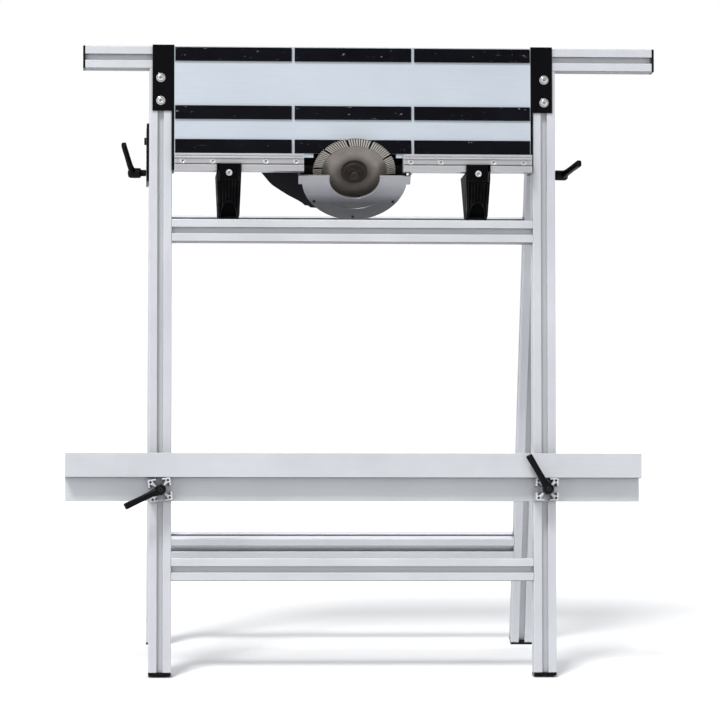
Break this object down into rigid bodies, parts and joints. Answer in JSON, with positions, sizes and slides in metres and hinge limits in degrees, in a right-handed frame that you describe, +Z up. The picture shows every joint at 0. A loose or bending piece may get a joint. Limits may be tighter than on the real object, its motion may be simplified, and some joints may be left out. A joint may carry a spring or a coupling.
{
  "type": "tile cutter",
  "caption": "Folding aluminium trestle with a tilted tile panel and a marble saw fixed behind it at 45 degrees, for mitring the edges of ceramic tiles; a sliding ledge stands in front.",
  "frame": {"origin": "on the floor, at the centre of the bounding box's footprint", "axes": "+Z up; the tile side faces -Y; the operator's right is +X"},
  "size_m": [0.783, 0.3804, 0.8317],
  "materials": {
    "aluminium": "satin anodised",
    "cast_aluminium": "satin silver paint",
    "black_steel": "satin black powder coat",
    "black_screws": "black oxide",
    "zinc_steel": "bright zinc",
    "black_plastic": "fine moulded grain",
    "grey_plastic": "fine moulded grain",
    "rubber": "matte",
    "blade_steel": "ground, dusty",
    "lamination": "stacked steel sheets",
    "carbon": "carbon"
  },
  "bodies": {
    "front_frame": {"front_leg_left": "aluminium", "front_leg_right": "aluminium", "front_foot_caps": "black_plastic", "top_bar": "aluminium", "top_bar_caps": "black_plastic", "front_middle_rail": "aluminium", "front_lower_rail": "aluminium", "hinge_bracket_left": "black_steel", "hinge_bracket_right": "black_steel", "hinge_screws": "black_screws", "pivot_bolts": "black_screws", "corner_bracket_left": "black_steel", "corner_bracket_right": "black_steel", "bracket_screws": "zinc_steel", "tile_panel": "aluminium", "grip_strips": "rubber", "fence_left": "aluminium", "fence_right": "aluminium", "fence_screws": "zinc_steel", "support_bracket_left": "black_plastic", "support_bracket_right": "black_plastic", "support_screws": "zinc_steel", "saw_base_plate": "aluminium", "base_plate_screws": "zinc_steel", "bevel_brackets": "black_steel", "guard_case": "black_steel", "guard_cover": "cast_aluminium", "guard_screws": "black_screws", "gear_housing": "cast_aluminium", "motor_housing": "grey_plastic", "brush_caps": "black_plastic", "carbon_brushes": "carbon", "stator": "lamination", "bearings": "zinc_steel", "grip_shell_near": "black_plastic", "grip_shell_far": "black_plastic", "cord_gland": "rubber"},
    "rear_frame": {"rear_leg_left": "aluminium", "rear_leg_right": "aluminium", "rear_foot_caps": "black_plastic", "rear_middle_rail": "aluminium", "rear_lower_rail": "aluminium", "lever_nuts": "zinc_steel"},
    "blade_spindle": {"diamond_blade": "blade_steel", "blade_flanges": "zinc_steel", "arbor_bolt": "black_screws", "spindle": "zinc_steel", "spindle_gear": "zinc_steel"},
    "armature": {"armature_shaft": "zinc_steel", "rotor_core": "lamination", "cooling_fan": "grey_plastic"},
    "ledge": {"tile_ledge": "aluminium", "clamp_blocks": "aluminium", "clamp_studs": "zinc_steel"},
    "left_side_lever": {"side_lever_left": "black_plastic"},
    "right_side_lever": {"side_lever_right": "black_plastic"},
    "left_ledge_lever": {"ledge_lever_left": "black_plastic"},
    "right_ledge_lever": {"ledge_lever_right": "black_plastic"},
    "trigger_unit": {"trigger": "black_plastic"},
    "lock_button_unit": {"lock_button": "black_plastic"}
  },
  "joints": [
    {"name": "rear_frame_fold", "type": "hinge", "parent": "front_frame", "child": "rear_frame", "pos_m": [-0.0115, 0.01404, 0.7017], "axis": [-1, 0, 0], "range_deg": [0, 20.5]},
    {"name": "ledge_slide", "type": "slide", "parent": "front_frame", "child": "ledge", "axis": [0, 0.1305, 0.9914], "range_m": [-0.19, 0.3]},
    {"name": "blade_spin", "type": "hinge", "parent": "front_frame", "child": "blade_spindle", "pos_m": [-0.009, -0.06436, 0.66552], "axis": [0, 0.7934, 0.6088], "continuous": true},
    {"name": "armature_spin", "type": "hinge", "parent": "front_frame", "child": "armature", "pos_m": [-0.009, 0.01555, 0.6928], "axis": [0, 0.7934, 0.6088], "continuous": true},
    {"name": "left_side_lever_turn", "type": "hinge", "parent": "rear_frame", "child": "left_side_lever", "pos_m": [-0.2845, 0.02393, 0.65882], "axis": [-1, 0, 0], "range_deg": [0, 120]},
    {"name": "right_side_lever_turn", "type": "hinge", "parent": "rear_frame", "child": "right_side_lever", "pos_m": [0.2615, 0.02393, 0.65882], "axis": [1, 0, 0], "range_deg": [0, 120]},
    {"name": "left_ledge_lever_turn", "type": "hinge", "parent": "ledge", "child": "left_ledge_lever", "pos_m": [-0.2665, -0.16561, 0.24887], "axis": [0, -0.9914, 0.1305], "range_deg": [0, 120]},
    {"name": "right_ledge_lever_turn", "type": "hinge", "parent": "ledge", "child": "right_ledge_lever", "pos_m": [0.2435, -0.16541, 0.25036], "axis": [0, -0.9914, 0.1305], "range_deg": [0, 120]},
    {"name": "trigger_press", "type": "slide", "parent": "front_frame", "child": "trigger_unit", "axis": [-0.6626, 0.456, -0.5942], "range_m": [0, 0.005], "stiffness_N_per_m": 600, "springref_m": -0.002},
    {"name": "lock_button_press", "type": "slide", "parent": "front_frame", "child": "lock_button_unit", "axis": [0, -0.7934, -0.6088], "range_m": [0, 0.0025], "stiffness_N_per_m": 800, "springref_m": -0.001}
  ],
  "couplings": [
    {"joint": "armature_spin", "follows": "blade_spin", "ratio": -2}
  ]
}
